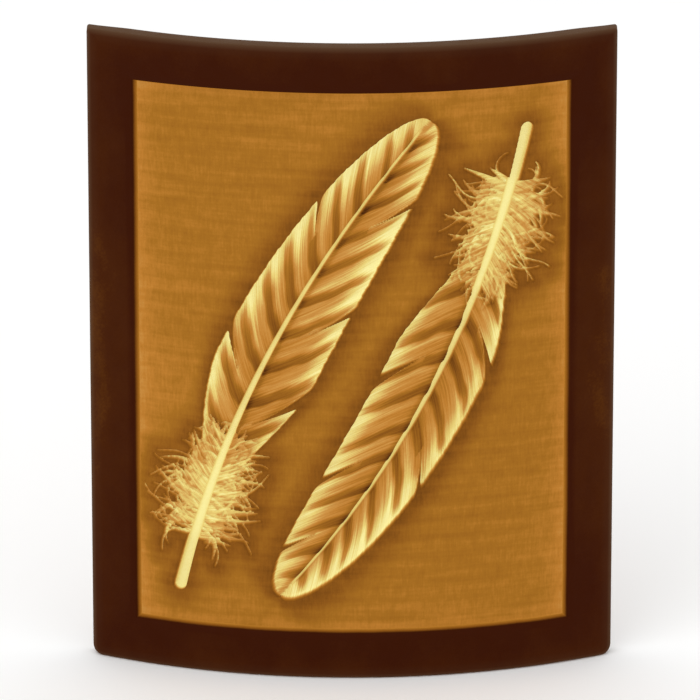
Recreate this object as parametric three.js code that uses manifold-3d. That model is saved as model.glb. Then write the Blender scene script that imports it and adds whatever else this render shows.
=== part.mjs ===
// Porcelain light panel: one fired plate, bowed about an upright axis so that its front is convex.
// A thick plain rim frames a sunken window, and two long tail feathers are carved into the window's
// floor, laid head to tail. The thinner the porcelain, the brighter a lamp behind it shines through.
// Millimetres, +Z up, front towards -Y. The origin lies under the middle of the panel's box, on the
// surface that the panel stands on.
import * as THREE from "three";
import { mergeVertices } from "three/addons/utils/BufferGeometryUtils.js";
import Module from "manifold-3d";

// The plate
const panelWidth = 89; // straight across, from side edge to side edge
const panelHeight = 113;
const frontRadius = 94;
const rimThickness = 4;
const sideRound = 1.1; // rounding of the upright edges
const squareRun = 7; // over this much of the bow, each side turns from square to the bow to straight back
const edgeRound = 0.8; // rounding of the top and bottom edges
const topCornerRadius = 0.6;
const bottomCornerRadius = 1.8;
const roundFlats = 4; // flats that make up a rounded edge

// The window, measured on its floor
const sideBand = 8.9; // rim beside the window, along the bow
const topBand = 8.3; // rim above the window
const bottomBand = 8.75; // rim below it
const windowDepth = 1.3; // below the front of the rim
const windowDraft = 0.7; // how far the walls lean outwards on the way up to the front
const windowFlats = 30; // flats that make up the bow across the window
const cutterStandoff = 1; // how far each cutter reaches out of the face that it cuts

// The carving. Places are across and up from the middle of the window, along the bow. Shares are of
// the shaft's length, from the quill. Left and right are as seen from the quill towards the tip.
const feathers = [
  {
    quill: [-30.5, -42.5],
    bow: [-19, 5],
    tip: [13.5, 43],
    left: { reach: 8.2, splits: [0.4, 0.66] },
    right: { reach: 9.4, splits: [0.33, 0.5, 0.73] },
  },
  {
    quill: [30.5, 41.5],
    bow: [20, -6],
    tip: [-12.5, -42.5],
    left: { reach: 8, splits: [0.36, 0.58] },
    right: { reach: 9.2, splits: [0.43, 0.64, 0.82] },
  },
];
const shaftHalfWidth = { quill: 1.1, tip: 0.24 };
const shaftTaper = 1.9; // above 1, the shaft narrows sooner
const shaftShoulder = 0.3; // the least floor beside the shaft
const carveDepth = { shaft: 1.4, root: 0.6, middle: 0.5, margin: 0.85, quill: 0.2 };
const vaneStart = 0.17;
const vaneFull = 0.36;
const vaneTaper = 0.72; // below 1, the vane stays wide for longer
const downReach = 7; // of the loose down below the vane
const downShares = { start: 0.1, full: 0.15, fade: 0.22, end: 0.32 };
const barbLean = { down: 0.1, vane: 0.8, tip: 1.7 }; // how far barbs run on for each step outwards
const barbCurve = 0.045; // and how much farther as they bend
const plainBarbs = 26; // barbs modelled along each feather, besides those at its splits
const downCut = 0.3; // share by which every second barb of the down is shorter
const splitCut = 0.5; // share of the vane that a split between barbs reaches inwards
const splitHalfWidth = 0.006;

// Worked out from the above
const halfBow = frontRadius * Math.asin(panelWidth / 2 / frontRadius); // along the bow, middle to side
const roundStart = halfBow - sideRound; // along the bow to where the side edge rounds off
const windowHalfWidth = halfBow - sideBand;
const windowHeight = panelHeight - topBand - bottomBand;
const windowMiddle = bottomBand + windowHeight / 2;
const flatWidth = (2 * windowHalfWidth) / windowFlats;

const { lerp, smoothstep } = THREE.MathUtils;
const wasm = await Module();
wasm.setup();

// A point given along the bow, by its height and by its depth below the plate's front. The bow's
// axis is upright through x = 0, y = 0.
function bend(along, height, depth) {
  const angle = along / frontRadius;
  const radius = frontRadius - depth;
  return new THREE.Vector3(radius * Math.sin(angle), -radius * Math.cos(angle), height);
}

function solidFrom(geometry) {
  const bare = geometry.clone();
  bare.deleteAttribute("normal");
  bare.deleteAttribute("uv");
  const merged = mergeVertices(bare, 1e-4);
  const vertProperties = new Float32Array(merged.attributes.position.array);
  const triVerts = new Uint32Array(merged.index.array);
  return new wasm.Manifold(new wasm.Mesh({ numProp: 3, vertProperties, triVerts }));
}

function geometryFrom(solid) {
  const { vertProperties, triVerts } = solid.getMesh();
  const geometry = new THREE.BufferGeometry();
  geometry.setAttribute("position", new THREE.BufferAttribute(vertProperties, 3));
  geometry.setIndex(new THREE.BufferAttribute(triVerts, 1));
  geometry.computeVertexNormals();
  geometry.computeBoundingBox();
  return geometry;
}

// A box with its own rows and columns, each corner of its grid moved by place(column, row, isFloor).
function shapedBlock(columns, rows, place) {
  const block = new THREE.BoxGeometry(1, 1, 1, columns, rows, 1);
  const corners = block.attributes.position;
  for (let i = 0; i < corners.count; i++) {
    const column = Math.round((corners.getX(i) + 0.5) * columns);
    const row = Math.round((corners.getY(i) + 0.5) * rows);
    const { x, y, z } = place(column, row, corners.getZ(i) < 0);
    corners.setXYZ(i, x, y, z);
  }
  return solidFrom(block);
}

// The plate's plan, a strip with rounded ends, as points along the bow and in depth.
function planOutline() {
  const [front, back] = [sideRound, rimThickness - sideRound];
  const flats = Math.floor(roundStart / flatWidth); // on each side of the middle
  const strip = new THREE.Shape();
  strip.absarc(roundStart, front, sideRound, -Math.PI / 2, 0);
  strip.absarc(roundStart, back, sideRound, 0, Math.PI / 2);
  for (let i = flats; i >= -flats; i--) {
    strip.lineTo(i * flatWidth, rimThickness);
  }
  strip.absarc(-roundStart, back, sideRound, Math.PI / 2, Math.PI);
  strip.absarc(-roundStart, front, sideRound, Math.PI, Math.PI * 1.5);
  for (let i = -flats; i <= flats; i++) {
    strip.lineTo(i * flatWidth, 0);
  }
  return strip.getPoints(roundFlats);
}

// How far a point near a side is moved outwards so that the plate's sides run straight back.
function squareShift(x, y) {
  const along = frontRadius * Math.atan2(x, -y);
  const depth = frontRadius - Math.hypot(x, y);
  return depth * Math.sin(along / frontRadius) * smoothstep(Math.abs(along), halfBow - squareRun, roundStart);
}

function plate() {
  const plan = planOutline().map((point) => {
    const { x, y } = bend(point.x, 0, point.y);
    return new THREE.Vector2(x, y);
  });
  const upright = new THREE.ExtrudeGeometry(new THREE.Shape(plan), {
    depth: panelHeight - 2 * edgeRound,
    bevelThickness: edgeRound,
    bevelSize: edgeRound,
    bevelOffset: -edgeRound,
    bevelSegments: 3,
  });
  upright.translate(0, 0, edgeRound);
  const corners = upright.attributes.position;
  for (let i = 0; i < corners.count; i++) {
    const x = corners.getX(i);
    corners.setX(i, x + squareShift(x, corners.getY(i)));
  }
  return solidFrom(upright).intersect(frontOutline());
}

// The panel seen from the front, with its four rounded corners, as a block from the bow's axis out
// through the plate.
function frontOutline() {
  const half = panelWidth / 2;
  const [low, high] = [bottomCornerRadius, topCornerRadius];
  const outline = new THREE.Shape();
  outline.absarc(half - low, low, low, -Math.PI / 2, 0);
  outline.absarc(half - high, panelHeight - high, high, 0, Math.PI / 2);
  outline.absarc(high - half, panelHeight - high, high, Math.PI / 2, Math.PI);
  outline.absarc(low - half, low, low, Math.PI, Math.PI * 1.5);
  const block = new THREE.ExtrudeGeometry(outline, {
    depth: frontRadius + cutterStandoff,
    bevelEnabled: false,
    curveSegments: 6,
  });
  block.rotateX(Math.PI / 2);
  return solidFrom(block);
}

// What is taken out of the plate to leave the window, with walls that lean outwards.
function windowCutter() {
  return shapedBlock(windowFlats, 1, (column, row, isFloor) => {
    const lean = isFloor ? 0 : (windowDraft * (windowDepth + cutterStandoff)) / windowDepth;
    const sideways = Math.trunc((2 * column) / windowFlats - 1); // -1 and 1 at the sides, 0 between
    const up = 2 * row - 1;
    return bend(
      column * flatWidth - windowHalfWidth + sideways * lean,
      windowMiddle + up * (windowHeight / 2 + lean),
      isFloor ? windowDepth : -cutterStandoff,
    );
  });
}

// How far the barbs reach from the shaft on a side whose vane is this wide at its widest.
function barbReach(share, widest) {
  const onward = Math.max(0, (share - vaneFull) / (1 - vaneFull));
  const vane = widest * smoothstep(share, vaneStart, vaneFull) * Math.pow(1 - onward * onward, vaneTaper);
  const { start, full, fade, end } = downShares;
  const down = downReach * smoothstep(share, start, full) * (1 - smoothstep(share, fade, end));
  return Math.max(vane, down);
}

// How far a barb runs on along the shaft for each step outwards: it stands off in the down, and
// lies close at the tip.
function barbSweep(share) {
  const vane = lerp(barbLean.down, barbLean.vane, smoothstep(share, vaneStart, downShares.end));
  return lerp(vane, barbLean.tip, smoothstep(share, downShares.end, 1));
}

// The barbs that shape one feather, from quill to tip, with how much shorter each is on either side.
function barbRows({ left, right }) {
  const barb = (share, cuts) => ({ share, left: 0, right: 0, ...cuts });
  const slits = [
    ...left.splits.map((share) => barb(share, { left: splitCut })),
    ...right.splits.map((share) => barb(share, { right: splitCut })),
  ];
  const lips = slits.flatMap(({ share }) => [barb(share - splitHalfWidth), barb(share + splitHalfWidth)]);
  const plain = [barb(0)];
  for (let i = 0; i <= plainBarbs; i++) {
    const share = lerp(downShares.start, 1, i / plainBarbs);
    const cut = share < downShares.fade && i % 2 ? downCut : 0;
    if (slits.every((slit) => Math.abs(slit.share - share) > 2 * splitHalfWidth)) {
      plain.push(barb(share, { left: cut, right: cut }));
    }
  }
  return [...plain, ...lips, ...slits].sort((a, b) => a.share - b.share);
}

// The hollow of one feather in the window's floor: two dished vanes beside a deeper shaft groove.
function featherCutter(feather) {
  const bends = [feather.quill, feather.bow, feather.tip].map((place) => new THREE.Vector2(...place));
  const shaft = new THREE.QuadraticBezierCurve(...bends);
  const rows = barbRows(feather);
  const middle = 3; // the column on the shaft
  return shapedBlock(2 * middle, rows.length - 1, (column, row, isFloor) => {
    const { share } = rows[row];
    const side = column < middle ? "left" : "right";
    const out = Math.abs(column - middle);
    const vane = barbReach(share, feather[side].reach);
    const shaftHalf = lerp(shaftHalfWidth.tip, shaftHalfWidth.quill, Math.pow(1 - share, shaftTaper));
    const reach = Math.max(vane * (1 - rows[row][side]), shaftHalf + shaftShoulder);
    const across = [0, shaftHalf, (shaftHalf + reach) / 2, reach][out];
    const barb = Math.max(0, across - shaftHalf);
    const onward = barbSweep(share) * (barb + barbCurve * barb * barb);
    const full = [carveDepth.shaft, carveDepth.root, carveDepth.middle, carveDepth.margin][out];
    const carved = out === 0 ? full : lerp(carveDepth.quill, full, Math.min(1, (3 * vane) / downReach));
    const root = shaft.getPointAt(share);
    const ahead = shaft.getTangentAt(share);
    const aside = across * Math.sign(column - middle);
    return bend(
      root.x + ahead.y * aside + ahead.x * onward,
      windowMiddle + root.y - ahead.x * aside + ahead.y * onward,
      windowDepth + (isFloor ? carved : -cutterStandoff),
    );
  });
}

const carvedPlate = feathers
  .map(featherCutter)
  .reduce((left, hollow) => left.subtract(hollow), plate().subtract(windowCutter()));

const bisquePorcelain = new THREE.MeshStandardMaterial({
  color: 0xa56920,
  emissive: 0x3e190c,
  roughness: 0.6,
  metalness: 0,
});
const panel = new THREE.Mesh(geometryFrom(carvedPlate), bisquePorcelain);
panel.name = "light_panel";
panel.position.y = -panel.geometry.boundingBox.getCenter(new THREE.Vector3()).y;

const lightPanel = new THREE.Group();
lightPanel.add(panel);

export default lightPanel;
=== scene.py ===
# A bowed porcelain light panel, lit from behind: a thick rim in painted dark brown shade round a sunken
# window in painted amber glow, with two long tail feathers carved into it. Sizes are in millimetres on the
# plate laid flat, which is then bowed.
import math

import bmesh
import bpy
import numpy as np
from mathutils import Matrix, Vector
from mathutils.kdtree import KDTree


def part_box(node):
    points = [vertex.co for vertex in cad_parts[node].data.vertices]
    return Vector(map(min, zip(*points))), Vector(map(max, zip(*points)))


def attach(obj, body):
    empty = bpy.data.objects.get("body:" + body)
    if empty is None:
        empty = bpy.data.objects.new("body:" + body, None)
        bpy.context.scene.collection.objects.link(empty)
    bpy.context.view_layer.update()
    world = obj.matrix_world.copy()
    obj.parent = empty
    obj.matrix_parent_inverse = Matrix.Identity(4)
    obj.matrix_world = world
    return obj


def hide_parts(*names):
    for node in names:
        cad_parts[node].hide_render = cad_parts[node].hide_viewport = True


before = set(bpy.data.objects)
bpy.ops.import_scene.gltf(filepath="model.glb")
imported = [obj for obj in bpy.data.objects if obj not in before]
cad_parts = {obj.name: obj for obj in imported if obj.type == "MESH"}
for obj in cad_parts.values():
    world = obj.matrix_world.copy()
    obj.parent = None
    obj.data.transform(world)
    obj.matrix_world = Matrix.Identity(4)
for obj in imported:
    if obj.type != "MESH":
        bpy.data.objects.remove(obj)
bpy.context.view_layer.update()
mm = 0.001
print("frame loaded")


def smoothStep(value, low, high):
    share = np.clip((value - low) / (high - low), 0, 1)
    return share * share * (3 - 2 * share)


def blend(first, second, share):
    return first + (second - first) * share


# A hump that is 1 in the middle and fades over about the given width.
def hump(distance, width):
    return np.exp(-((distance / width) ** 2))


# The lesser of two, rounded off where they meet.
def softLeast(first, second, rounding):
    gap = np.maximum(0, rounding - np.abs(first - second)) / rounding
    return np.minimum(first, second) - gap * gap * rounding / 4


def ripple(values, rng, lengths):
    total = 0
    for length in lengths:
        total = total + np.sin(values * 2 * math.pi / length + rng.uniform(0, 2 * math.pi))
    return total / len(lengths)


# The blank plate
plate = {
    "frontRadius": 94.0,
    "thickness": 4.0,
    "edgeRound": 0.85,
    "roundSteps": 4,
    "squareRun": 7.0,  # over this much of the bow, each side turns to run straight back
    "topCorner": 0.6,
    "bottomCorner": 1.8,
}
low, high = (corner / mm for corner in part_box("light_panel"))
panelHeight = high.z - low.z
axisY = low.y + plate["frontRadius"]  # the bow's upright axis
halfBow = plate["frontRadius"] * math.asin(high.x / plate["frontRadius"])  # along the bow, middle to side
halfTall = panelHeight / 2

window = {
    "sideBand": 8.9,
    "topBand": 8.3,
    "bottomBand": 8.75,
    "depth": 1.3,
    "cell": 0.82,
    "fineCuts": 3,  # how often each cell near the carving is cut again
    "fineReach": 1.1,  # how far round the carving
    "crowd": 0.09,  # how much the cells crowd towards the window's edge
    "crowdPower": 9,
    # the wall from floor to rim, where the painted glow fades into the rim's painted shade: out from the
    # floor's edge, depth, brightness
    "wall": ((0.1, 1.24, 0.54), (0.3, 0.7, 0.3), (0.52, 0.14, 0.05), (0.7, 0.0, 0.0)),
}
halfWide = halfBow - window["sideBand"]
halfHigh = halfTall - (window["topBand"] + window["bottomBand"]) / 2
plateMiddle = (window["topBand"] - window["bottomBand"]) / 2  # up from the window's own middle

rim = {
    "inner": 0.08,  # painted shade of the thick rim against the light from behind: brightness beside the window, then half way out, then at the edge
    "middle": 0.09,
    "outer": 0.115,
    "support": 1.2,  # a ring just outside the wall keeps its corner crisp
    "outerStart": 2.2,  # where the rim's lighter outer band begins, from the outer edge inwards
    "ends": (-0.085, -0.08),  # painted shade: how much darker the top and the bottom are painted
    "frontHighlight": (0.1, 0.9),  # painted highlight along the rounded edge: how much where the rounding starts, and how much more by its end
    "backHighlight": 0.6,  # how much of it is lost again towards the back
    "brightest": 0.2,
}

# The carved feathers. Places are across and up from the window's middle. Shares are of the shaft's length,
# from the quill. Left and right are as seen from the quill towards the tip. Each split has its place, the
# share of the vane that stays whole, and how far it opens.
feathers = [
    {
        "quill": (-30.5, -42.5),
        "bow": (-19, 5),
        "tip": (13.5, 43),
        "left": {"reach": 8.2, "splits": ((0.4, 0.45, 0.9), (0.66, 0.55, 0.6))},
        "right": {"reach": 9.4, "splits": ((0.33, 0.3, 1.5), (0.5, 0.5, 0.7), (0.73, 0.45, 0.8))},
        "seed": 4,
        "vaneSeed": 104,
    },
    {
        "quill": (30.5, 41.5),
        "bow": (20, -6),
        "tip": (-12.5, -42.5),
        "left": {"reach": 8.0, "splits": ((0.36, 0.35, 1.2), (0.58, 0.5, 0.6))},
        "right": {"reach": 9.2, "splits": ((0.43, 0.4, 1.1), (0.64, 0.5, 0.7), (0.82, 0.5, 0.6))},
        "seed": 9,
        "vaneSeed": 109,
    },
]
shaft = {
    "halfWidth": (1.1, 0.24),  # at the quill and at the tip
    "taper": 1.9,
    "end": 0.985,
    "steps": 240,
    "tone": (0.97, 0.9),
    "dimSides": 0.13,
    "shade": (0.14, 0.3, 0.45),  # the darker line beside it: how dark, how far off, how wide
    "shadeShares": (0.2, 0.3),  # it comes in above the down
}
vane = {
    "start": 0.17,
    "full": 0.36,
    "flare": 0.7,
    "taper": 0.72,
    "lean": (0.2, 0.8, 1.7),  # how far barbs run on for each step outwards: down, vane, tip
    "leanShares": (0.09, 0.27, 1.0),
    "curve": 0.045,
    "tone": 0.65,
    "sides": (0.02, -0.015),  # left and right
    "margin": (0.3, 2.3),  # brighter edge and how wide it is
    "hollow": (0.09, 2.2),  # darker beside the shaft
    "ragged": 0.012,
    "raggedLengths": (2.3, 1.3, 6.1),
    "leftShift": 40,  # so that the two sides aren't ragged in the same places
    "round": 0.55,
    "splitShade": (0.18, 1.6),  # darker on the tip's side of a split, and how wide
    "splitLip": (0.12, 0.8),  # brighter on the quill's side
    "splitFlare": 1.5,
    "splitSweep": 0.5,
    "splitSlope": 0.75,
    "splitMost": 1.6,
    "lockDrift": 0.035,  # how much the brightness changes from one side of a split to the other
    "waves": 0.035,
    "waveLengths": (13.1, 6.7, 3.7),
    "settleRounds": 30,
    "settleShare": 0.6,
    "beyondEnd": 3,  # where there is no vane at all, its edge counts as this far off
}
bars = {
    "first": 0.31,
    "last": 0.94,
    "count": 10,
    "tone": 0.27,
    "halfWidth": 1.15,
    "widthSpread": (0.85, 1.15),
    "drift": 0.3,
    "sweep": 0.16,  # towards the quill, for each step outwards
    "waver": 0.25,
    "waverLengths": (5.0, 3.1),
    "paleBand": (0.35, 2.1, 0.8),  # beyond each dark one: how bright, how far off, how wide
    "fadeIn": (-0.3, 1.5),
}
field = {
    "tone": 0.5,
    "halo": (0.2, 2.6),  # painted shadow, darker round the carving, and how far out
    "glow": (0.12, 2.2),  # brighter beside the rim
    "endGlow": 0.5,
    "drift": (0.02, 17, 23),  # slow change of brightness: how much, over what lengths across and up
    "driftStart": (0.6, -1),
    "streakShift": (300, 0, 0),  # so that the second feather has streaks of its own
}


def shaftHalfWidth(share):
    return blend(*shaft["halfWidth"], 1 - (1 - np.clip(share, 0, 1)) ** shaft["taper"])


def vaneShape(share):
    onward = np.clip((share - vane["full"]) / (1 - vane["full"]), 0, 1)
    rise = smoothStep(share, vane["start"], vane["full"]) ** vane["flare"]
    return rise * (1 - onward**2) ** vane["taper"]


def barbLean(share):
    inDown, inVane, atTip = vane["lean"]
    first, second, last = vane["leanShares"]
    lower = blend(inDown, inVane, smoothStep(share, first, second))
    return blend(lower, atTip, smoothStep(share, second, last))


# How far along the shaft and across from it each place lies.
def alongShaft(feather, places):
    quill, bow, tip = (np.array(feather[name], float) for name in ("quill", "bow", "tip"))
    share = np.linspace(0, 1, shaft["steps"])[:, None]
    line = (1 - share) ** 2 * quill + 2 * share * (1 - share) * bow + share**2 * tip
    ahead = (1 - share) * (bow - quill) + share * (tip - bow)
    ahead /= np.linalg.norm(ahead, axis=1)[:, None]
    run = np.append(0, np.cumsum(np.linalg.norm(np.diff(line, axis=0), axis=1)))
    nearest = np.concatenate([
        ((part[:, None] - line) ** 2).sum(2).argmin(1) for part in np.array_split(places, 80)
    ])
    gap = places - line[nearest]
    along = run[nearest] + (gap * ahead[nearest]).sum(1)
    across = gap[:, 0] * ahead[nearest, 1] - gap[:, 1] * ahead[nearest, 0]
    return along, across, run[-1], line, ahead


# The down: a felted middle under tapering locks and finer hairs, all curling away from the shaft.
down = {
    "from": 0.115,
    "to": 0.3,
    "spread": 20.0,  # nothing of the down, nor its halo, comes farther from the shaft
    "headings": (100, 38),  # degrees off the shaft, from the lowest strand to the highest
    "headingDrift": 11,
    "steps": 14,
    "dimEnd": 0.1,
    "halo": 5.0,
    "core": (5.0, 0.9),  # how wide and how bright
    "coreShares": (0.1, 0.17, 0.23, 0.31),
    "coreRagged": (0.22, (1.9, 1.1, 3.3)),
    "coreCover": (0.75, 0.6),  # how much of the vane it hides, and how soft its edge is
    "room": 0.2,  # the strands reach no farther than this share above their roots
    "lengths": (0.6, 0.5, 0.15),  # shortest share, how much more in the middle, how far that lies below it
    "curling": (0.3, 0.1),  # at the root, and how much more each step
    "waveStep": 0.6,
    "taper": 0.7,
    "shadow": 0.35,
    "softEdge": 0.12,
    "bareEdge": -0.2,
}
strands = [
    {
        "count": 100,
        "length": (4.5, 10.5),
        "halfWidth": (1.15, 0.12),
        "curl": 0.17,
        "tone": (0.82, 1.0),
        "shade": 0.06,
    },
    {
        "count": 120,
        "length": (4.0, 12.0),
        "halfWidth": (0.3, 0.14),
        "curl": 0.2,
        "tone": (0.8, 1.0),
        "shade": 0.025,
    },
]


def strandPath(rng, kind, line, ahead, side):
    share = rng.uniform(down["from"], down["to"])
    station = int(share * (shaft["steps"] - 1))
    rising = (share - down["from"]) / (down["to"] - down["from"])
    heading = math.atan2(ahead[station][1], ahead[station][0])
    heading -= side * math.radians(blend(*down["headings"], rising) + rng.normal(0, down["headingDrift"]))
    shortest, longer, lower = down["lengths"]
    length = rng.uniform(*kind["length"])
    length *= shortest + longer * math.sin(math.pi * min(1, rising + lower))
    curl = rng.choice((-1, 1)) * abs(rng.normal(0, kind["curl"]))
    wave = rng.normal(0, kind["curl"])
    step = length / down["steps"]
    rootCurl, moreCurl = down["curling"]
    points = [line[station]]
    for stride in range(down["steps"]):
        bend = curl * (rootCurl + moreCurl * stride) + wave * math.sin(stride * down["waveStep"])
        heading += step * bend
        points.append(points[-1] + step * np.array((math.cos(heading), math.sin(heading))))
    return np.array(points)


# Lays the strands one over another, each with a faint shadow under it.
def downStrands(feather, line, ahead, places, edge, tone):
    rng = np.random.default_rng(feather["seed"])
    soft = down["softEdge"]
    for kind in strands:
        for count in range(kind["count"]):
            points = strandPath(rng, kind, line, ahead, 1 if count % 2 else -1)
            brightness = rng.uniform(*kind["tone"])
            corner, opposite = points.min(0) - down["halo"], points.max(0) + down["halo"]
            near = np.nonzero(((places > corner) & (places < opposite)).all(1))[0]
            if len(near) == 0:
                continue
            start, stretch = points[:-1], np.diff(points, axis=0)
            passed = ((places[near, None] - start) * stretch).sum(2) / (stretch**2).sum(1)
            passed = np.clip(passed, 0, 1)
            gaps = np.linalg.norm(places[near, None] - start - passed[..., None] * stretch, axis=2)
            best = gaps.argmin(1)
            gone = (best + passed[np.arange(len(near)), best]) / down["steps"]
            half = blend(*kind["halfWidth"], gone ** down["taper"])
            far = gaps.min(1)
            own = brightness - down["dimEnd"] * gone - kind["shade"] * np.clip(far / half, 0, 1) ** 2
            under = tone[near] - kind["shade"] * hump(far, half + down["shadow"])
            under = np.where(edge[near] > down["bareEdge"], under, own)
            tone[near] = blend(under, own, smoothStep(half - far, -soft, soft))
            edge[near] = np.maximum(edge[near], half - far)
    return edge, tone


# Brightness of one feather, how far inside its outline each place lies, how far inside its shaft, and the
# barbs' own coordinates.
def carveFeather(feather, places):
    rng = np.random.default_rng(feather["vaneSeed"])
    along, across, length, line, ahead = alongShaft(feather, places)
    share = along / length
    shaftHalf = shaftHalfWidth(share)
    out = np.maximum(0, np.abs(across) - shaftHalf)
    root = along.copy()  # where on the shaft the barb through each place starts
    for settle in range(vane["settleRounds"]):
        start = along - barbLean(root / length) * (out + vane["curve"] * out**2)
        root = blend(root, start, vane["settleShare"])
    isLeft = across < 0
    widest = np.where(isLeft, feather["left"]["reach"], feather["right"]["reach"])
    shape = vaneShape(root / length)
    ragged = ripple(root + np.where(isLeft, vane["leftShift"], 0), rng, vane["raggedLengths"])
    reach = widest * shape * (1 + vane["ragged"] * ragged)
    edge = reach - np.abs(across) - length * np.maximum(0, share - 1) - vane["beyondEnd"] * (shape <= 0)
    spread = np.abs(across) / np.maximum(reach, 0.1)

    margin, marginWide = vane["margin"]
    tone = vane["tone"] + margin * hump(np.maximum(edge, 0), marginWide)
    lockTone = np.zeros(len(places))
    for side, here in (("left", isLeft), ("right", ~isLeft)):
        for split, whole, opening in feather[side]["splits"]:
            opened = np.clip((spread - whole) / (1 - whole), 0, vane["splitMost"])
            gap = opening * opened ** vane["splitFlare"]
            beyond = root - split * length - vane["splitSweep"] * opening * opened**2
            shade, shadeWide = vane["splitShade"]
            lip, lipWide = vane["splitLip"]
            aside = np.abs(beyond) - gap
            fade = hump(np.maximum(0, aside), np.where(beyond > 0, shadeWide, lipWide))
            change = np.where(beyond > 0, -shade, lip) * fade
            active = here & (spread > whole)
            tone += active * change * smoothStep(opened, 0, 0.5)
            edge = np.where(active, softLeast(edge, vane["splitSlope"] * aside, vane["round"]), edge)
            lockTone = np.where(here & (beyond > 0), rng.normal(0, vane["lockDrift"]), lockTone)
    hollow, hollowWide = vane["hollow"]
    tone -= hollow * hump(out, hollowWide)
    waves = vane["waves"] * ripple(root, rng, vane["waveLengths"])
    tone += waves + np.where(isLeft, *vane["sides"]) + lockTone

    pale, paleOff, paleWide = bars["paleBand"]
    for bar in np.linspace(bars["first"], bars["last"], bars["count"]) * length:
        shifts = bars["drift"] * rng.normal(0, 1, 2)
        widths = bars["halfWidth"] * rng.uniform(*bars["widthSpread"], 2)
        waver = bars["waver"] * ripple(across, rng, bars["waverLengths"])
        centre = bar + np.where(isLeft, *shifts) - bars["sweep"] * out + waver
        far = (root - centre) / np.where(isLeft, *widths)
        band = np.exp(-(far**4)) - pale * hump(far - paleOff, paleWide)
        tone -= bars["tone"] * band * smoothStep(edge, *bars["fadeIn"])

    coreWide, coreTone = down["core"]
    rise, full, fade, end = down["coreShares"]
    inDown = smoothStep(share, rise, full) * (1 - smoothStep(share, fade, end))
    coreRagged, raggedLengths = down["coreRagged"]
    coreWide = coreWide * inDown * (1 + coreRagged * ripple(along + across, rng, raggedLengths))
    coreEdge = coreWide - np.abs(across) - vane["beyondEnd"] * (inDown <= 0)
    cover, coverSoft = down["coreCover"]
    covered = blend(tone, coreTone, cover * smoothStep(coreEdge, -coverSoft, coverSoft))
    tone = np.where(edge > 0, covered, coreTone)
    edge = np.maximum(edge, coreEdge)
    zone = np.nonzero((np.abs(across) < down["spread"]) & (share < down["to"] + down["room"]))[0]
    edge[zone], tone[zone] = downStrands(feather, line, ahead, places[zone], edge[zone], tone[zone])

    stem = shaftHalf - np.hypot(across, np.maximum(0, shaftHalf - along))  # with a round end
    stem = np.minimum(stem, shaft["end"] * length - along)
    shade, shadeOff, shadeWide = shaft["shade"]
    shadeLine = shade * hump(across - shaftHalf - shadeOff, shadeWide)
    tone -= shadeLine * smoothStep(share, *shaft["shadeShares"])
    return edge, tone, stem, np.stack((root, across, share), 1)


def carvedPicture(places):
    carved = [carveFeather(feather, places) for feather in feathers]
    edge, tone, stem, barb = carved[0]
    for other in carved[1:]:
        closer = np.maximum(other[0], other[2]) > np.maximum(edge, stem)
        edge, tone, stem = (np.where(closer, b, a) for a, b in zip((edge, tone, stem), other[:3]))
        barb = np.where(closer[:, None], other[3] + np.array(field["streakShift"]), barb)
    # the bare floor: a dark halo of painted shadow round the carving, a painted glow beside the rim
    halo, haloWide = field["halo"]
    glow, glowWide = field["glow"]
    outside = np.maximum(0, -np.maximum(edge, stem))
    fromSide = np.maximum(0, halfWide - np.abs(places[:, 0]))
    fromEnd = np.maximum(0, halfHigh - np.abs(places[:, 1]))
    bare = field["tone"] - halo * hump(outside, haloWide)
    bare += glow * (np.exp(-fromSide / glowWide) + field["endGlow"] * np.exp(-fromEnd / glowWide))
    drift, driftAcross, driftUp = field["drift"]
    startAcross, startUp = field["driftStart"]
    slowAcross = np.sin(places[:, 0] / driftAcross + startAcross)
    slowUp = np.sin(places[:, 1] / driftUp + startUp)
    bare += drift * slowAcross * slowUp
    print("picture worked out at", len(places), "places")
    return bare, tone, edge, stem, barb


# Rings from the window's edge outwards, over the rounded edge and on to the back.
# Each is half its width, half its height, its middle, depth, brightness and how much painted edge highlight
# shows.
def plateRings():
    rings = []
    for out, depth, tone in window["wall"]:
        rings.append((halfWide + out, halfHigh + out, 0, depth, tone, 0))
    support = window["wall"][-1][0] + rim["support"]
    rings.append((halfWide + support, halfHigh + support, 0, 0, rim["inner"], 0))
    for inset, tone in ((window["topBand"] / 2, rim["middle"]), (rim["outerStart"], rim["outer"])):
        rings.append((halfBow - inset, halfTall - inset, plateMiddle, 0, tone, 0))
    rounding, steps = plate["edgeRound"], plate["roundSteps"]
    # the rounded front edge carries a growing painted highlight
    startHighlight, moreHighlight = rim["frontHighlight"]
    for step in range(steps + 1):
        turn = math.pi / 2 * step / steps
        inset = rounding * (1 - math.sin(turn))
        depth = rounding * (1 - math.cos(turn))
        edgeHighlight = startHighlight + moreHighlight * step / steps
        rings.append((halfBow - inset, halfTall - inset, plateMiddle, depth, rim["outer"], edgeHighlight))
    for step in range(steps):
        turn = math.pi / 2 * step / (steps - 1)
        inset = rounding * (1 - math.cos(turn))
        depth = plate["thickness"] - rounding * (1 - math.sin(turn))
        edgeHighlight = 1 - rim["backHighlight"] * step / steps
        rings.append((halfBow - inset, halfTall - inset, plateMiddle, depth, rim["outer"], edgeHighlight))
    return rings


# A grid whose cells crowd towards its edge.
def crowdedGrid(bm, halfAcross, halfUp, place):
    columns, rows = (round(2 * half / window["cell"]) for half in (halfWide, halfHigh))
    verts = bmesh.ops.create_grid(bm, x_segments=columns, y_segments=rows, size=1)["verts"]
    crowd, power = window["crowd"], window["crowdPower"]
    for vert in verts:
        vert.co.x = halfAcross * ((1 + crowd) * vert.co.x - crowd * vert.co.x**power)
        vert.co.y = halfUp * ((1 + crowd) * vert.co.y - crowd * vert.co.y**power)
    bmesh.ops.translate(bm, vec=place, verts=verts)
    return verts


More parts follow.
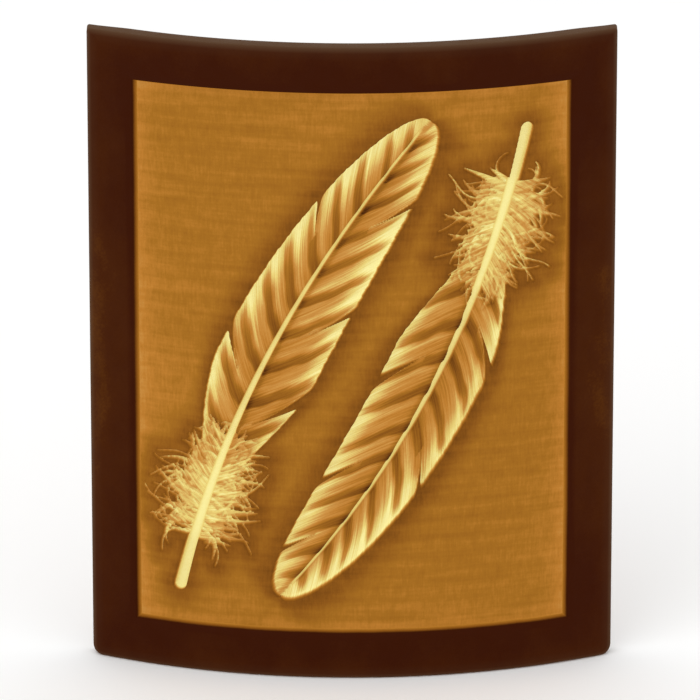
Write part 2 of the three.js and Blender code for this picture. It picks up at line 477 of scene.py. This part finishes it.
# The window's floor, with finer cells where the carving will be.
def windowFloor(bm):
    crowdedGrid(bm, halfWide, halfHigh, (0, 0, -window["depth"]))
    middles = np.array([face.calc_center_median()[:2] for face in bm.faces])
    edge, stem = carvedPicture(middles)[2:4]
    fromRim = np.minimum(halfWide - np.abs(middles[:, 0]), halfHigh - np.abs(middles[:, 1]))
    close = (np.maximum(edge, stem) > -window["fineReach"]) & (fromRim > window["cell"])
    edges = [line for face, isClose in zip(bm.faces, close) if isClose for line in face.edges]
    bmesh.ops.subdivide_edges(
        bm, edges=list(dict.fromkeys(edges)), cuts=window["fineCuts"], use_grid_fill=True
    )


def blankPlate():
    bm = bmesh.new()
    tone = bm.verts.layers.float.new("fieldTone")
    edgeHighlight = bm.verts.layers.float.new("paintedEdgeHighlight")
    unfold = bm.verts.layers.float_vector.new("unfold")
    windowFloor(bm)
    floorCount = len(bm.verts)
    for vert in bm.verts:
        vert[unfold] = vert.co
    last = (halfWide, halfHigh, 0, window["depth"])
    path = 0  # how far the rings have come over the surface
    edges = [edge for edge in bm.edges if edge.is_boundary]
    for ring in plateRings():
        halfAcross, halfUp, middle, depth, brightness, paleness = ring
        grown = bmesh.ops.extrude_edge_only(bm, edges=edges)["geom"]
        verts = [item for item in grown if isinstance(item, bmesh.types.BMVert)]
        edges = [item for item in grown if isinstance(item, bmesh.types.BMEdge) and item.is_boundary]
        bmesh.ops.translate(bm, vec=(0, -last[2], last[3] - depth), verts=verts)
        bmesh.ops.scale(bm, vec=(halfAcross / last[0], halfUp / last[1], 1), verts=verts)
        path += math.dist((halfAcross, depth), (last[0], last[3]))
        for vert in verts:
            vert[tone] = brightness
            vert[edgeHighlight] = paleness
            upMap = vert.co.y * (halfHigh + path) / halfUp
            vert[unfold] = (vert.co.x * (halfWide + path) / halfAcross, upMap, 0)
        bmesh.ops.translate(bm, vec=(0, middle, 0), verts=verts)
        last = ring
    # the back, joined to the last ring
    back = crowdedGrid(bm, last[0], last[1], (0, plateMiddle, -plate["thickness"]))
    nearest = KDTree(len(verts))
    for index, vert in enumerate(verts):
        nearest.insert(vert.co, index)
    nearest.balance()
    joins = {vert: verts[nearest.find(vert.co)[1]] for vert in back if vert.is_boundary}
    bmesh.ops.weld_verts(bm, targetmap=joins)
    bmesh.ops.recalc_face_normals(bm, faces=bm.faces)
    mesh = bpy.data.meshes.new("light_panel_carved")
    bm.to_mesh(mesh)
    bm.free()
    mesh.calc_loop_triangles()
    print("plate laid out,", len(mesh.loop_triangles), "triangles")
    return mesh, floorCount, (halfWide + path, halfHigh + path)


relief = {
    "depth": 2.7,  # millimetres for all of the brightness
    "softEdge": 0.22,
    "level": 1.5,  # the carving flattens out this close to the rim
    "ghost": (0.62, 0.9, 1.5, 0.06),  # on the back: how bright, how clear, how soft, how much dimmer
    "ghostFade": 1.6,
}
# where the finish is kept on its map: the middle and half the size of each part
finishMap = {
    "front": ((0.33, 0.5), (0.322, 0.494)),
    "back": ((0.828, 0.5), (0.164, 0.494)),
}
hair = 0.001  # less than this far apart counts as touching


def carvePanel(mesh, floorCount, unfolded):
    count = len(mesh.vertices)
    flat = np.empty(count * 3)
    mesh.vertices.foreach_get("co", flat)
    flat = flat.reshape(-1, 3)
    tone = np.empty(count)
    mesh.attributes["fieldTone"].data.foreach_get("value", tone)
    plumeTone, plumeEdge = np.zeros(count), np.full(count, -9.0)
    barb = np.zeros((count, 3))
    fromRim = np.minimum(halfWide - np.abs(flat[:, 0]), halfHigh - np.abs(flat[:, 1]))
    inWindow = fromRim > -10 * hair
    onFloor = np.arange(count) < floorCount
    onBack = flat[:, 2] < hair - plate["thickness"]
    fromMiddle = flat[:, 1] - plateMiddle
    # painted shade: the rim is painted darker towards the top and the bottom
    topShade, bottomShade = rim["ends"]
    shadeAtTop = topShade * smoothStep(fromMiddle, 0, halfTall)
    shadeAtBottom = bottomShade * smoothStep(-fromMiddle, 0, halfTall)
    tone += (shadeAtTop + shadeAtBottom) * (tone < rim["brightest"])

    bare, carved, edge, stem, coordinates = carvedPicture(flat[onFloor, :2])
    tone[onFloor] = bare
    plumeTone[onFloor] = carved
    plumeEdge[onFloor] = np.maximum(edge, stem)
    barb[onFloor] = coordinates
    soft = relief["softEdge"]
    depthTone = blend(bare, carved, smoothStep(edge, -soft, soft))
    depthTone = blend(depthTone, shaft["tone"][1], smoothStep(stem, -soft, soft))
    level = smoothStep(fromRim[onFloor], 0, relief["level"])
    flat[onFloor, 2] -= relief["depth"] * (depthTone - field["tone"]) * level

    # the smooth back shows the picture only as a soft ghost of painted light through the panel, the rest in
    # the rim's painted shade
    ghost = onBack & inWindow
    bare, carved, edge, stem, coordinates = carvedPicture(flat[ghost, :2])
    ghostTone, clear, softness, dimmer = relief["ghost"]
    shown = blend(bare, ghostTone, clear * smoothStep(np.maximum(edge, stem), -softness, softness)) - dimmer
    tone[onBack] = rim["middle"]
    tone[ghost] = blend(rim["middle"], shown, smoothStep(fromRim[ghost], 0, relief["ghostFade"]))

    # rounded corners, seen from the front
    for isTop, radius in ((True, plate["topCorner"]), (False, plate["bottomCorner"])):
        cornerX = np.abs(flat[:, 0]) - (halfBow - radius)
        way = 1 if isTop else -1
        cornerY = way * (flat[:, 1] - plateMiddle) - (halfTall - radius)
        here = (cornerX > 0) & (cornerY > 0)
        longer = np.maximum(cornerX, cornerY)[here] / np.hypot(cornerX, cornerY)[here]
        flat[here, 0] = np.sign(flat[here, 0]) * (halfBow - radius + cornerX[here] * longer)
        flat[here, 1] = plateMiddle + way * (halfTall - radius + cornerY[here] * longer)

    # the map for the finish: front and edges unfolded side by side with the back
    spread = np.empty(count * 3)
    mesh.attributes["unfold"].data.foreach_get("vector", spread)
    spread = spread.reshape(-1, 3)[:, :2] / np.array(unfolded)
    middle, half = (np.array(pair) for pair in finishMap["front"])
    frontMap = middle + spread * half
    backSpread = np.stack((flat[:, 0] / halfBow, (flat[:, 1] - plateMiddle) / halfTall), 1)
    middle, half = (np.array(pair) for pair in finishMap["back"])
    backMap = middle + backSpread * half
    corner = np.empty(len(mesh.loops), int)
    mesh.loops.foreach_get("vertex_index", corner)
    sizes = np.empty(len(mesh.polygons), int)
    mesh.polygons.foreach_get("loop_total", sizes)
    face = np.repeat(np.arange(len(sizes)), sizes)
    backFaces = np.bincount(face, onBack[corner]) == sizes
    layout = np.where(backFaces[face][:, None], backMap[corner], frontMap[corner])
    mesh.uv_layers.new(name="OFBake").uv.foreach_set("vector", layout.astype(np.float32).ravel())

    place = np.stack((flat[:, 0], flat[:, 1], inWindow * 1.0), 1)
    for name, kind, values in (
        ("fieldTone", "FLOAT", tone),
        ("plumeTone", "FLOAT", plumeTone),
        ("plumeEdge", "FLOAT", plumeEdge),
        ("barb", "FLOAT_VECTOR", barb),
        ("flatPlace", "FLOAT_VECTOR", place),
    ):
        attribute = mesh.attributes.get(name) or mesh.attributes.new(name, kind, "POINT")
        channel = "value" if kind == "FLOAT" else "vector"
        attribute.data.foreach_set(channel, values.astype(np.float32).ravel())

    # bow the plate about its upright axis
    angle = flat[:, 0] / plate["frontRadius"]
    radius = plate["frontRadius"] + flat[:, 2]
    square = smoothStep(np.abs(flat[:, 0]), halfBow - plate["squareRun"], halfBow - plate["edgeRound"])
    across = (radius - square * flat[:, 2]) * np.sin(angle)
    height = flat[:, 1] - plateMiddle + halfTall
    bowed = np.stack((across, axisY - radius * np.cos(angle), height), 1)
    mesh.vertices.foreach_set("co", (bowed * mm).astype(np.float32).ravel())
    mesh.polygons.foreach_set("use_smooth", np.ones(len(mesh.polygons), bool))
    mesh.update()
    print("plate carved and bowed")


# Bisque porcelain with the light from behind painted in: a painted amber glow where it is thin, painted
# dark shade where it is thick
porcelain = {
    # painted colour for each brightness, from the dark painted shade of the thick rim to the painted glow
    # of the thin window, as red, green and blue out of 255
    "glow": (
        (0.0, (56, 19, 3)),
        (0.1, (67, 29, 5)),
        (0.35, (140, 86, 24)),
        (0.5, (163, 107, 32)),
        (0.6, (188, 124, 47)),
        (0.72, (205, 148, 72)),
        (0.88, (234, 212, 123)),
        (1.0, (250, 241, 165)),
    ),
    # colour of the painted highlight on the rounded edges
    "edgeHighlightColour": (88, 63, 43),
    "paintedBaseShare": 0.5,  # how much of the painted colour goes into the base colour; glowShare is the painted glow of the light from behind
    "glowShare": 0.52,
    "roughness": (0.55, 0.72),
    "specular": 0.03,
    # noise: how much, its scale along each direction, detail and roughness
    "bands": (0.2, (0.045, 0.62, 3.0), 3.0, 0.6),
    "weave": (0.12, (2.6, 0.35, 5.0), 2.0, 0.6),
    "mottle": (0.12, (0.5, 0.4, 7.0), 4.0, 0.6),
    "rimMottle": (0.2, (0.1, 0.06, 1.0), 4.0, 0.6),
    "streaks": (0.5, (2.6, 0.14, 0.0), 3.0, 0.65),
    "grain": (0.05, (2400, 2400, 2400), 2.0, 0.5),
    "patches": (0.25, (420, 420, 420), 2.0, 0.5),
    "outline": (-0.14, 0.16),
    "shaftSoft": 0.14,
    "shaftFade": 0.03,
    "shaftRound": 3.0,
    "bumpStrength": 0.25,
    "bumpDistance": 0.15 * mm,
}


def linear(colour):
    shares = [part / 255 for part in colour]
    return [s / 12.92 if s <= 0.04045 else ((s + 0.055) / 1.055) ** 2.4 for s in shares] + [1.0]


def porcelainWithPaintedGlow():
    material = bpy.data.materials.new("bisque_porcelain_painted_glow")
    material.use_nodes = True
    nodes, links = material.node_tree.nodes, material.node_tree.links
    shader = nodes["Principled BSDF"]

    def fill(socket, value):
        if isinstance(value, bpy.types.NodeSocket):
            links.new(value, socket)
        else:
            socket.default_value = value

    def attribute(name, output):
        node = nodes.new("ShaderNodeAttribute")
        node.attribute_name = name
        return node.outputs[output]

    def calc(operation, *values):
        node = nodes.new("ShaderNodeMath")
        node.operation = operation
        for socket, value in zip(node.inputs, values):
            fill(socket, value)
        return node.outputs[0]

    def parts(vector):
        node = nodes.new("ShaderNodeSeparateXYZ")
        links.new(vector, node.inputs[0])
        return node.outputs

    # noise about nought, stretched to its own scale
    def noise(vector, scale, detail, roughness):
        mapping = nodes.new("ShaderNodeMapping")
        mapping.inputs["Scale"].default_value = scale
        links.new(vector, mapping.inputs["Vector"])
        node = nodes.new("ShaderNodeTexNoise")
        node.inputs["Scale"].default_value = 1
        node.inputs["Detail"].default_value = detail
        node.inputs["Roughness"].default_value = roughness
        links.new(mapping.outputs[0], node.inputs["Vector"])
        return calc("SUBTRACT", node.outputs["Fac"], 0.5)

    def soft(value, lowest, highest, start=0.0, end=1.0):
        node = nodes.new("ShaderNodeMapRange")
        node.interpolation_type = "SMOOTHSTEP"
        names = ("From Min", "From Max", "To Min", "To Max")
        for name, number in zip(names, (lowest, highest, start, end)):
            node.inputs[name].default_value = number
        links.new(value, node.inputs["Value"])
        return node.outputs[0]

    def mixed(share, first, second):
        node = nodes.new("ShaderNodeMix")
        for socket, value in zip((node.inputs[0], node.inputs[2], node.inputs[3]), (share, first, second)):
            fill(socket, value)
        return node.outputs[0]

    def tinted(share, first, second, way="MIX"):
        node = nodes.new("ShaderNodeMix")
        node.data_type = "RGBA"
        node.blend_type = way
        for socket, value in zip((node.inputs[0], node.inputs[6], node.inputs[7]), (share, first, second)):
            fill(socket, value)
        return node.outputs[2]

    place = attribute("flatPlace", "Vector")
    inWindow = parts(place)["Z"]
    # the bare floor: faint level bands like wood grain, a finer upright weave, and mottling
    floorNoise = {}
    for name in ("bands", "weave", "mottle", "rimMottle"):
        amount, *kind = porcelain[name]
        floorNoise[name] = calc("MULTIPLY", noise(place, *kind), amount)
    cloth = calc("ADD", calc("ADD", floorNoise["bands"], floorNoise["weave"]), floorNoise["mottle"])
    patchy = floorNoise["rimMottle"]  # the rim has broader, fainter patches
    bare = calc("ADD", mixed(inWindow, patchy, cloth), attribute("fieldTone", "Fac"))
    # the feathers: streaks along the barbs, a crisp outline and the bright shaft
    barb = attribute("barb", "Vector")
    fromShaft = calc("ABSOLUTE", parts(barb)["Y"])
    share = parts(barb)["Z"]
    amount, *kind = porcelain["streaks"]
    plume = calc("MULTIPLY_ADD", noise(barb, *kind), amount, attribute("plumeTone", "Fac"))
    edge = attribute("plumeEdge", "Fac")
    picture = mixed(soft(edge, *porcelain["outline"]), bare, plume)
    quillHalf, tipHalf = shaft["halfWidth"]
    narrowing = calc("POWER", calc("SUBTRACT", 1.0, share), shaft["taper"])
    shaftHalf = calc("MULTIPLY_ADD", narrowing, quillHalf - tipHalf, tipHalf)
    blur = porcelain["shaftSoft"]
    onShaft = soft(calc("SUBTRACT", shaftHalf, fromShaft), -blur, blur)
    onShaft = calc("MULTIPLY", onShaft, soft(edge, -blur, blur))
    fadeFrom = shaft["end"] - porcelain["shaftFade"]
    onShaft = calc("MULTIPLY", onShaft, soft(share, fadeFrom, shaft["end"], 1.0, 0.0))
    onShaft = calc("MULTIPLY", onShaft, inWindow)
    # painted shade: the shaft's sides darker, as on a round stem
    sideways = calc("POWER", calc("DIVIDE", fromShaft, shaftHalf), porcelain["shaftRound"])
    shaftTone = soft(share, 0.0, 1.0, *shaft["tone"])
    shaftTone = calc("MULTIPLY_ADD", sideways, -shaft["dimSides"], shaftTone)
    picture = mixed(onShaft, picture, shaftTone)
    # fine grain all over
    objectPlace = nodes.new("ShaderNodeTexCoord").outputs["Object"]
    amount, *kind = porcelain["grain"]
    grain = noise(objectPlace, *kind)
    tone = calc("MULTIPLY_ADD", grain, amount, picture)
    ramp = nodes.new("ShaderNodeValToRGB")
    links.new(tone, ramp.inputs[0])
    stops = ramp.color_ramp.elements
    while len(stops) < len(porcelain["glow"]):
        stops.new(0.5)
    for stop, (position, colour) in zip(stops, porcelain["glow"]):
        stop.position = position
        stop.color = linear(colour)
    # a painted highlight along the rounded edges, laid over the ramp's painted colour
    colour = tinted(attribute("paintedEdgeHighlight", "Fac"), ramp.outputs[0], linear(porcelain["edgeHighlightColour"]))
    # the base colour is the painted colour too, dimmed: painted shade on the rim, painted glow in the
    # window
    body = porcelain["paintedBaseShare"]
    links.new(tinted(1.0, colour, (body, body, body, 1), "MULTIPLY"), shader.inputs["Base Color"])
    links.new(colour, shader.inputs["Emission Color"])
    shader.inputs["Emission Strength"].default_value = porcelain["glowShare"]
    shader.inputs["Specular IOR Level"].default_value = porcelain["specular"]
    reach, *kind = porcelain["patches"]
    patches = noise(objectPlace, *kind)
    links.new(soft(patches, -reach, reach, *porcelain["roughness"]), shader.inputs["Roughness"])
    bump = nodes.new("ShaderNodeBump")
    bump.inputs["Strength"].default_value = porcelain["bumpStrength"]
    bump.inputs["Distance"].default_value = porcelain["bumpDistance"]
    links.new(grain, bump.inputs["Height"])
    links.new(bump.outputs[0], shader.inputs["Normal"])
    print("porcelain mixed")
    return material


panelMesh, floorCount, unfolded = blankPlate()
carvePanel(panelMesh, floorCount, unfolded)
panelMesh.materials.append(porcelainWithPaintedGlow())
panel = bpy.data.objects.new("light_panel_carved", panelMesh)
bpy.context.collection.objects.link(panel)
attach(panel, "root")
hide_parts("light_panel")

# Floor, light and camera
studio = {
    "floorSize": 6.0,
    "floorColour": (0.97, 0.97, 0.965),
    "floorRoughness": 0.9,
    "floorSpecular": 0.1,
    "sky": 0.97,
    "keyPlace": (-0.7, -1.1, 1.3),
    "keySize": 1.2,
    "keyPower": 6,
}


def studioFloor():
    mesh = bpy.data.meshes.new("floor")
    bm = bmesh.new()
    bmesh.ops.create_grid(bm, x_segments=1, y_segments=1, size=studio["floorSize"] / 2)
    bm.to_mesh(mesh)
    bm.free()
    floor = bpy.data.objects.new("floor", mesh)
    bpy.context.collection.objects.link(floor)
    paint = bpy.data.materials.new("floor_paint")
    paint.use_nodes = True
    shader = paint.node_tree.nodes["Principled BSDF"]
    shader.inputs["Base Color"].default_value = (*studio["floorColour"], 1)
    shader.inputs["Roughness"].default_value = studio["floorRoughness"]
    shader.inputs["Specular IOR Level"].default_value = studio["floorSpecular"]
    mesh.materials.append(paint)


def studioLight():
    world = bpy.data.worlds.new("studio")
    world.use_nodes = True
    sky = world.node_tree.nodes["Background"]
    sky.inputs["Color"].default_value = (1, 1, 1, 1)
    sky.inputs["Strength"].default_value = studio["sky"]
    bpy.context.scene.world = world
    lamp = bpy.data.lights.new("key", "AREA")
    lamp.size = studio["keySize"]
    lamp.energy = studio["keyPower"]
    key = bpy.data.objects.new("key", lamp)
    key.location = studio["keyPlace"]
    key.rotation_euler = (-key.location).to_track_quat("-Z", "Y").to_euler()
    bpy.context.collection.objects.link(key)


view = {
    "elevation": 20.0,
    "distance": 1.4,
    "frameWidth": 118.51 * mm,  # what the picture takes in at the panel
    "sensorWidth": 36,
    "target": (-0.34 * mm, 0.0, 57.2 * mm),
}


def panelCamera():
    lens = bpy.data.cameras.new("camera")
    lens.sensor_width = view["sensorWidth"]
    lens.lens = lens.sensor_width * view["distance"] / view["frameWidth"]
    camera = bpy.data.objects.new("camera", lens)
    tilt = math.radians(view["elevation"])
    target = Vector(view["target"])
    camera.location = target + view["distance"] * Vector((0, -math.cos(tilt), math.sin(tilt)))
    camera.rotation_euler = (target - camera.location).to_track_quat("-Z", "Y").to_euler()
    bpy.context.collection.objects.link(camera)
    bpy.context.scene.camera = camera


studioFloor()
studioLight()
panelCamera()
bpy.context.scene.view_settings.view_transform = "Standard"
print("studio set up")
